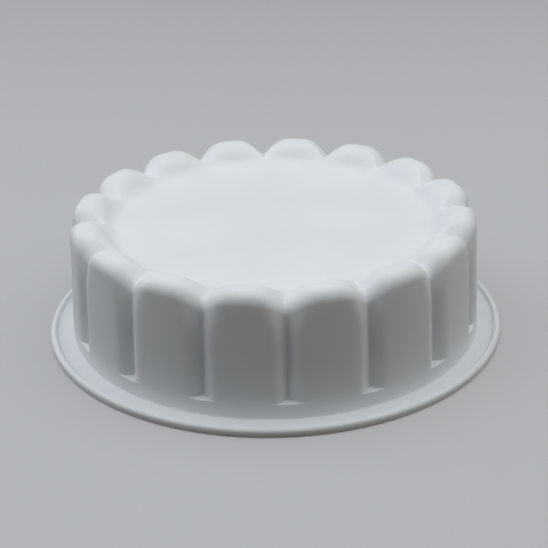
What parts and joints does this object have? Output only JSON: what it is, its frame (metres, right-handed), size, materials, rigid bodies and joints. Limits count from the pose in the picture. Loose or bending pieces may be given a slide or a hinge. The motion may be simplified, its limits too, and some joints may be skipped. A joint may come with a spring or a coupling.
{
  "type": "cake mould",
  "caption": "Round silicone mousse cake mould, a shell with rounded upright fingers round a recessed flat centre, a plain band and a flat flange with a raised rim.",
  "frame": {"origin": "centre of the open end, on the plane of the rim's underside", "axes": "+Z along the mould's axis from the open end to the finger tops, -Y towards a groove between two fingers"},
  "size_m": [0.22, 0.22, 0.0615],
  "materials": {
    "silicone": "white silicone rubber, satin, as moulded"
  },
  "bodies": {
    "root": {"rim_flange": "silicone", "base_band": "silicone", "finger_01": "silicone", "finger_02": "silicone", "finger_03": "silicone", "finger_04": "silicone", "finger_05": "silicone", "finger_06": "silicone", "finger_07": "silicone", "finger_08": "silicone", "finger_09": "silicone", "finger_10": "silicone", "finger_11": "silicone", "finger_12": "silicone", "finger_13": "silicone", "finger_14": "silicone", "finger_15": "silicone", "finger_16": "silicone", "floor_disc": "silicone"}
  },
  "joints": []
}
